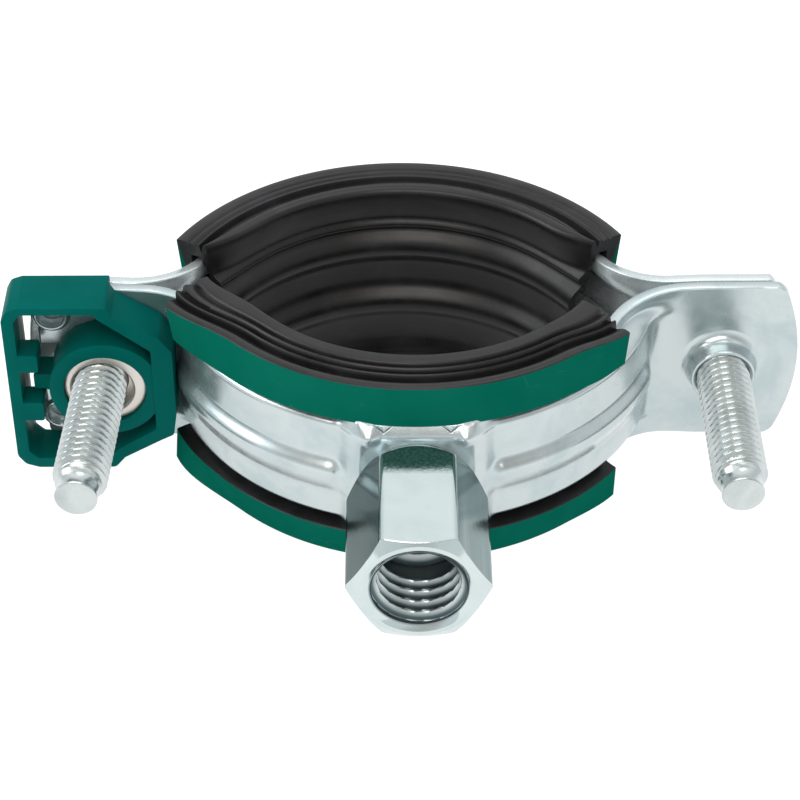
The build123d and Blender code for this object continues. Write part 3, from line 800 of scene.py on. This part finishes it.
def screw_mesh(name, origin, direction, seat, tip, mats, n=72, hand=1, phase=0.0):
    """M6 screw with a dog point; stations run from the seat plane to the tip along direction."""
    d = np.asarray(direction, float)
    d /= np.linalg.norm(d)
    u = np.array([0, 0, 1.0])
    u -= d * (u @ d)
    u /= np.linalg.norm(u)
    w = np.cross(d, u)
    pitch, core = 1.0, 2.36
    start, stop = seat + 0.6, tip - 2.35
    step = pitch / 14
    ys = np.arange(start, stop + step, step)
    th = np.linspace(0, 2 * math.pi, n, endpoint=False)
    rows = []
    rows.append((np.full(n, SCREW_R - 0.25), np.full(n, seat)))
    for y in ys:
        dep = thread_depth((y / pitch - hand * th / (2 * math.pi)) + phase)
        amp = min(1.0, max(0.0, (y - start) / 1.0)) * 1.0
        end = min(1.0, max(0.0, (stop - y) / 0.7))
        r = core + (SCREW_R - core) * dep * (0.25 + 0.75 * end)
        r = r * amp + (SCREW_R - 0.25) * (1 - amp)
        rows.append((r, np.full(n, y)))
    for r, y in ((2.52, stop + 0.16), (2.44, stop + 0.34), (2.30, stop + 0.52), (2.20, stop + 0.70), (2.19, tip - 0.9), (2.22, tip - 0.45),
                 (2.27, tip - 0.26), (2.27, tip - 0.14), (2.20, tip - 0.05), (2.08, tip - 0.01), (1.6, tip), (0.8, tip + 0.005), (0.0, tip + 0.01)):
        rows.append((np.full(n, r), np.full(n, y)))
    P = np.array([np.asarray(origin) + np.outer(y, d) + r[:, None] * (np.cos(th)[:, None] * u + np.sin(th)[:, None] * w) for r, y in rows])
    faces = grid_faces(len(rows), n, wrap_m=True)
    body = make(name + "_shank", P.reshape(-1, 3), faces + [list(range(n))[::-1]], mats, angle=60)
    # cheese head
    k = HEAD_K
    head = lathe(name + "_head", [(0, seat - 0.01), (HEAD_R - 0.15, seat - 0.01), (HEAD_R, seat - 0.15), (HEAD_R, seat - k + 0.7), (HEAD_R - 0.2, seat - k + 0.3),
                                  (HEAD_R - 0.7, seat - k + 0.05), (HEAD_R - 1.2, seat - k), (0, seat - k)],
                 origin, d, mats, 96)

    def bar(wx, wz):
        e = [-wx / 2, wx / 2]
        f = [-wz / 2, wz / 2]
        vs = []
        for yy in (seat - k - 1, seat - k + 1.5):
            for a in e:
                for b in f:
                    vs.append(np.asarray(origin) + d * yy + u * a + w * b)
        q = [(0, 1, 3, 2), (4, 6, 7, 5), (0, 4, 5, 1), (2, 3, 7, 6), (0, 2, 6, 4), (1, 5, 7, 3)]
        return make("bar", vs, q, mats)
    boolean(head, bar(1.5, 12))
    boolean(head, bar(5.6, 1.5))
    bevel(head, 0.15, 2, 45)
    return join(name, [body, head])


def build_screws():
    ld = (-math.sin(math.radians(LS_TILT)), -math.cos(math.radians(LS_TILT)), 0)
    cs = math.cos(math.radians(LS_TILT))
    for name, node, body, org, d, seat, tip, ph in (
            ("right_screw_m6", "right_screw", "right_screw", (RS_X, 0, RS_Z), (0, -1, 0), -RS_SEAT, -RS_TIP, 0.1),
            ("left_screw_m6", "left_screw", "left_screw", (LS_X, 0, LS_Z), ld, -LS_SEAT / cs, -LS_TIP / cs, 0.4)):
        ob = screw_mesh(name, org, d, seat, tip, [ZINC_SCREW], phase=ph)
        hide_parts(node)
        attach(ob, body)
    for name, node, body, org, d, seat in (
            ("right_washer_plain", "right_washer", "rear_half", (RS_X, 0, RS_Z), (0, -1, 0), -RS_SEAT),
            ("left_washer_plain", "left_washer", "left_washer", (LS_X, 0, LS_Z), ld, -LS_SEAT / cs)):
        a, b = seat + 0.02, seat + WASHER_T - (0.08 if node == "left_washer" else 0.0)
        ob = lathe(name, [(3.10, a + 0.1), (3.20, a), (WASHER_R - 0.12, a), (WASHER_R, a + 0.12), (WASHER_R, b - 0.12),
                          (WASHER_R - 0.12, b), (3.20, b), (3.10, b - 0.1)], org, d, [ZINC_SCREW], 96, closed=True)
        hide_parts(node)
        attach(ob, body)


# =====================================================================
#  connection boss
# =====================================================================
def build_boss():
    n = 192
    th = np.linspace(0, 2 * math.pi, n, endpoint=False)
    # hexagon with corners to the left and right, softly broken edges
    ang = (th + math.pi / 6) % (math.pi / 3) - math.pi / 6
    ang = th % (math.pi / 3) - math.pi / 6
    rh = (BOSS_AF / 2) / np.cos(ang)
    rh = np.minimum(rh, BOSS_AF / 2 / math.cos(math.pi / 6) - 0.10)
    rows = []

    def ring(r, y):
        rows.append((np.broadcast_to(np.asarray(r, float), (n,)).copy(), np.broadcast_to(np.asarray(y, float), (n,)).copy()))
    yf = BOSS_Y + (rh - 6.1) * math.tan(math.radians(30))
    yb = -23.03 - (rh - 6.5) * 1.37
    ring(5.62, BOSS_Y)
    ring(5.72, BOSS_Y)
    ring(6.04, BOSS_Y)
    ring(6.12, BOSS_Y + 0.01)
    ring(rh - 0.06, yf - 0.03)
    ring(rh, yf + 0.05)
    for k in range(1, 12):
        ring(rh, yf + 0.05 + (yb - 0.05 - yf - 0.05) * k / 12)
    ring(rh, yb - 0.05)
    ring(rh - 0.05, yb + 0.03)
    ring(5.72, PAD_Y - 0.06)
    ring(5.64, PAD_Y - 0.02)
    ring(5.6, PAD_Y + 0.0)
    # bore, from the bottom to the mouth, left open to the last thread
    ring(0.0, PAD_Y + 0.0)
    split_at = len(rows)
    rows2 = []

    def ring2(r, y):
        rows2.append((np.broadcast_to(np.asarray(r, float), (n,)).copy(), np.broadcast_to(np.asarray(y, float), (n,)).copy()))
    ring2(5.62, BOSS_Y)
    ring2(5.55, BOSS_Y + 0.04)
    ring2(5.05, BOSS_Y + 0.42)
    p10, p8 = 1.5, 1.25
    y = BOSS_Y + 0.46
    end10 = BOSS_Y + 7.0
    while y < end10:
        dep = thread_depth((y / p10 + th / (2 * math.pi)) % 1.0)
        lead = min(1.0, (y - BOSS_Y - 0.3) / 0.9)
        fade = min(1.0, (end10 - y) / 0.5)
        r = 5.02 - (5.02 - 4.22) * dep * max(0.0, min(lead, fade))
        ring2(r, y)
        y += p10 / 18
    ring2(5.05, end10 + 0.05)
    ring2(5.06, end10 + 2.05)
    ring2(4.98, end10 + 2.20)
    ring2(4.12, end10 + 2.62)
    y = end10 + 2.7
    end8 = PAD_Y - 1.2
    while y < end8:
        dep = thread_depth((y / p8 + th / (2 * math.pi)) % 1.0)
        lead = min(1.0, (y - end10 - 2.6) / 0.8)
        r = 4.02 - (4.02 - 3.36) * dep * max(0.0, lead)
        ring2(r, y)
        y += p8 / 16
    ring2(3.9, end8)
    ring2(3.7, PAD_Y - 0.95)
    ring2(0.0, PAD_Y - 0.95)

    def pts(rs):
        return np.array([np.stack([r * np.cos(th), yy, r * np.sin(th)], 1) for r, yy in rs])
    A, B = pts(rows), pts(rows2)
    verts = np.vstack([A.reshape(-1, 3), B.reshape(-1, 3)])
    faces = grid_faces(len(rows), n, wrap_m=True) + [f[::-1] for f in grid_faces(len(rows2), n, wrap_m=True, base=len(rows) * n)]
    ob = make("connection_boss_hexagon", verts, faces, [ZINC_BOSS], angle=22)
    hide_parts("connection_boss")
    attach(ob, "front_half")


# =====================================================================
#  lock clip and lock nut
# =====================================================================
def build_clip():
    outer = [(-44.62, -9.2), (-44.62, 9.8), (-44.0, 11.0), (-42.8, 11.45), (-33.3, 11.45), (-32.7, 10.3),
             (-27.8, 7.3), (-26.5, 5.4), (-26.5, -3.5), (-26.9, -6.2), (-28.4, -7.0), (-32.6, -9.5),
             (-33.7, -10.9), (-42.3, -10.9), (-43.8, -10.4)]
    inner = [(-43.3, -8.6), (-43.3, 9.6), (-42.5, 10.6), (-34.7, 10.6), (-34.1, 9.85), (-28.8, 5.6),
             (-28.8, -5.4), (-33.2, -8.3), (-34.4, -9.6), (-42.3, -9.6)]
    ro = [1.2, 0.8, 0.8, 0.8, 0.5, 0.6, 0.8, 0.8, 1.5, 0.6, 0.6, 1.0, 0.8, 1.2, 1.0]
    ri = [0.6, 0.6, 0.6, 0.4, 0.4, 0.5, 0.5, 0.5, 0.4, 0.6]
    loop_o = rounded(outer, ro, 5)
    loop_i = rounded(inner, ri, 4)
    ob = prism("lock_clip_moulding", [loop_o, loop_i], CLIP_BACK, CLIP_Y, [PLASTIC])
    skirt = rounded([(-44.62, -9.2), (-44.62, 9.8), (-44.0, 11.0), (-42.8, 11.45), (-33.3, 11.45), (-33.3, 10.6),
                     (-42.5, 10.6), (-43.3, 9.6), (-43.3, -9.4), (-42.3, -10.45), (-33.5, -10.45),
                     (-33.7, -10.9), (-42.3, -10.9), (-43.8, -10.4)],
                    [1.2, 0.8, 0.8, 0.8, 0.1, 0.1, 0.6, 0.6, 0.6, 0.6, 0.1, 0.1, 1.2, 1.0], 4)
    boolean(ob, prism("s", [skirt], -0.15, -2.2, [PLASTIC]), "UNION")
    ring = prism("r", [circle(RING_X, RING_Z, RING_R, 96)], CLIP_BACK, RING_Y, [PLASTIC])
    boolean(ob, ring, "UNION")

    def block(x0, x1, z0, z1, y0, y1, r=0.3):
        return prism("t", [rounded([(x0, z0), (x1, z0), (x1, z1), (x0, z1)], r, 3)], y0, y1, [PLASTIC])
    boolean(ob, block(-43.6, -41.2, 2.7, 5.0, -3.2, CLIP_Y + 0.02), "UNION")
    boolean(ob, block(-43.6, -41.1, -4.07, -1.6, -3.2, CLIP_Y + 0.02), "UNION")
    boolean(ob, block(-42.1, -39.0, -0.84, 1.16, CLIP_BACK, -4.5, 0.2), "UNION")
    boolean(ob, prism("c", [circle(NUT_X, NUT_Z, NUT_R + 0.002, 96)], 2, -9, [PLASTIC]))
    bevel(ob, 0.22, 3, 40)
    polish(ob, 40)
    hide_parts("lock_clip")
    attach(ob, "front_half")


def build_nut():
    ld = np.array((-math.sin(math.radians(LS_TILT)), -math.cos(math.radians(LS_TILT)), 0))
    ob = lathe("lock_nut_steel", [(0, CLIP_BACK), (NUT_R, CLIP_BACK), (NUT_R, NUT_Y + 0.3), (NUT_R - 0.1, NUT_Y + 0.1), (NUT_R - 0.35, NUT_Y), (0, NUT_Y)],
               (NUT_X, 0, NUT_Z), (0, 1, 0), [ZINC_NUT], 96)
    cut = lathe("c", [(0, -9), (NUT_MOUTH_R + 0.25, -9), (NUT_MOUTH_R + 0.25, NUT_Y), (NUT_MOUTH_R, NUT_Y + 0.25), (NUT_MOUTH_R, -3.9), (0, -3.9)], (NUT_MOUTH_X, 0, 0), (0, 1, 0), [ZINC_NUT], 96)
    boolean(ob, cut)
    cut = lathe("c", [(0, -3), (SCREW_R + 0.05, -3), (SCREW_R + 0.05, 14), (0, 14)], (LS_X, 0, LS_Z), ld, [ZINC_NUT], 96)
    boolean(ob, cut)
    polish(ob, 35)
    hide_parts("lock_nut")
    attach(ob, "front_half")


build_front_shell()
build_rear_shell()
build_liners()
build_screws()
build_boss()
build_clip()
build_nut()

# =====================================================================
#  floor, light, camera
# =====================================================================
scene = bpy.context.scene
scene.view_settings.view_transform = "Standard"
scene.view_settings.look = "None"

bpy.ops.mesh.primitive_plane_add(size=6.0, location=(0, 0, -LINER_H * MM))
floor = bpy.context.object
floor.name = "floor"
fm, fnt, fnodes, flinks, fb = new_material("floor_white_painted_shadow")
fb.inputs["Base Color"].default_value = (0.20, 0.20, 0.20, 1)
fb.inputs["Roughness"].default_value = 0.9
fb.inputs["Specular IOR Level"].default_value = 0.1
fb.inputs["Emission Color"].default_value = (1, 1, 1, 1)
# painted shadow: the floor's emission falls from 0.95 to 0.55 inside an ellipse under the clamp, a painted contact
# shadow under and inside the ring
fg = fnodes.new("ShaderNodeNewGeometry")
fo = fnodes.new("ShaderNodeVectorMath")
fo.operation = "SUBTRACT"
flinks.new(fg.outputs["Position"], fo.inputs[0])
fo.inputs[1].default_value = (-0.8 * MM, 0.6 * MM, -LINER_H * MM)
fq = fnodes.new("ShaderNodeVectorMath")
fq.operation = "MULTIPLY"
flinks.new(fo.outputs["Vector"], fq.inputs[0])
fq.inputs[1].default_value = (1 / (23.5 * MM), 1 / (18.5 * MM), 0)
fs = fnodes.new("ShaderNodeVectorMath")
fs.operation = "LENGTH"
flinks.new(fq.outputs["Vector"], fs.inputs[0])
flinks.new(remap(fnodes, flinks, fs.outputs["Value"], 0.84, 1.0, 0.55, 0.95), fb.inputs["Emission Strength"])
floor.data.materials.append(fm)


def area(name, loc, target, size, power, color=(1, 1, 1), size_y=None):
    li = bpy.data.lights.new(name, "AREA")
    li.energy = power
    li.color = color
    li.size = size
    if size_y:
        li.shape = "RECTANGLE"
        li.size_y = size_y
    ob = bpy.data.objects.new(name, li)
    ob.location = loc
    ob.rotation_euler = (Vector(target) - Vector(loc)).to_track_quat("-Z", "Y").to_euler()
    scene.collection.objects.link(ob)
    return ob


world = bpy.data.worlds.new("studio")
scene.world = world
world.use_nodes = True
wn, wl = world.node_tree.nodes, world.node_tree.links
bg = wn["Background"]
tc = wn.new("ShaderNodeTexCoord")
sep = wn.new("ShaderNodeSeparateXYZ")
wl.new(tc.outputs["Generated"], sep.inputs[0])
base = ramp(wn, wl, remap(wn, wl, sep.outputs["Z"], -1.0, 1.0, 0.0, 1.0),
            [(0.0, (0.9, 0.9, 0.9)), (0.50, (0.86, 0.90, 0.92)), (0.66, (0.86, 0.88, 0.90)), (0.75, (0.96, 0.98, 0.99)), (0.82, (1.15, 1.16, 1.17)), (0.89, (1.34, 1.34, 1.34)), (0.95, (0.95, 0.96, 0.97)), (1.0, (0.64, 0.66, 0.68))])
front = remap(wn, wl, sep.outputs["Y"], -0.62, -0.10, 1.0, 0.0)
above = wn.new("ShaderNodeMath")
above.operation = "MULTIPLY"
wl.new(front, above.inputs[0])
wl.new(remap(wn, wl, sep.outputs["Z"], 0.24, 0.38, 0.0, 1.0), above.inputs[1])
tinted = mixcol(wn, wl, above.outputs[0], base, (0.54, 0.515, 0.49))
wl.new(tinted, bg.inputs["Color"])
bg.inputs["Strength"].default_value = 0.95

area("key", (-0.12, -0.56, 0.64), (0, 0, 0), 0.66, 2.9, (1.0, 0.97, 0.93), 0.44)
area("left", (-0.62, -0.05, 0.42), (0, 0, 0), 0.40, 1.5, (0.96, 0.98, 1.0))
area("top", (0.10, 0.16, 0.85), (0, 0, 0), 0.50, 1.4, (0.96, 0.98, 1.0))

cam = bpy.data.cameras.new("camera")
cam.lens = 108.0
cam.sensor_width = 36.0
cam.clip_start = 0.01
cam.clip_end = 20
co = bpy.data.objects.new("camera", cam)
scene.collection.objects.link(co)
az, el = math.radians(0.3463), math.radians(39.5096)
right = Vector((math.cos(az), -math.sin(az), 0))
d = Vector((math.sin(az) * math.cos(el), math.cos(az) * math.cos(el), -math.sin(el)))
up = right.cross(d)
loc = (right * -1.6616 + up * -4.9621 - d * 268.8327) * MM
rot = Matrix((right, up, -d)).transposed()
co.matrix_world = Matrix.Translation(loc) @ rot.to_4x4()
scene.camera = co
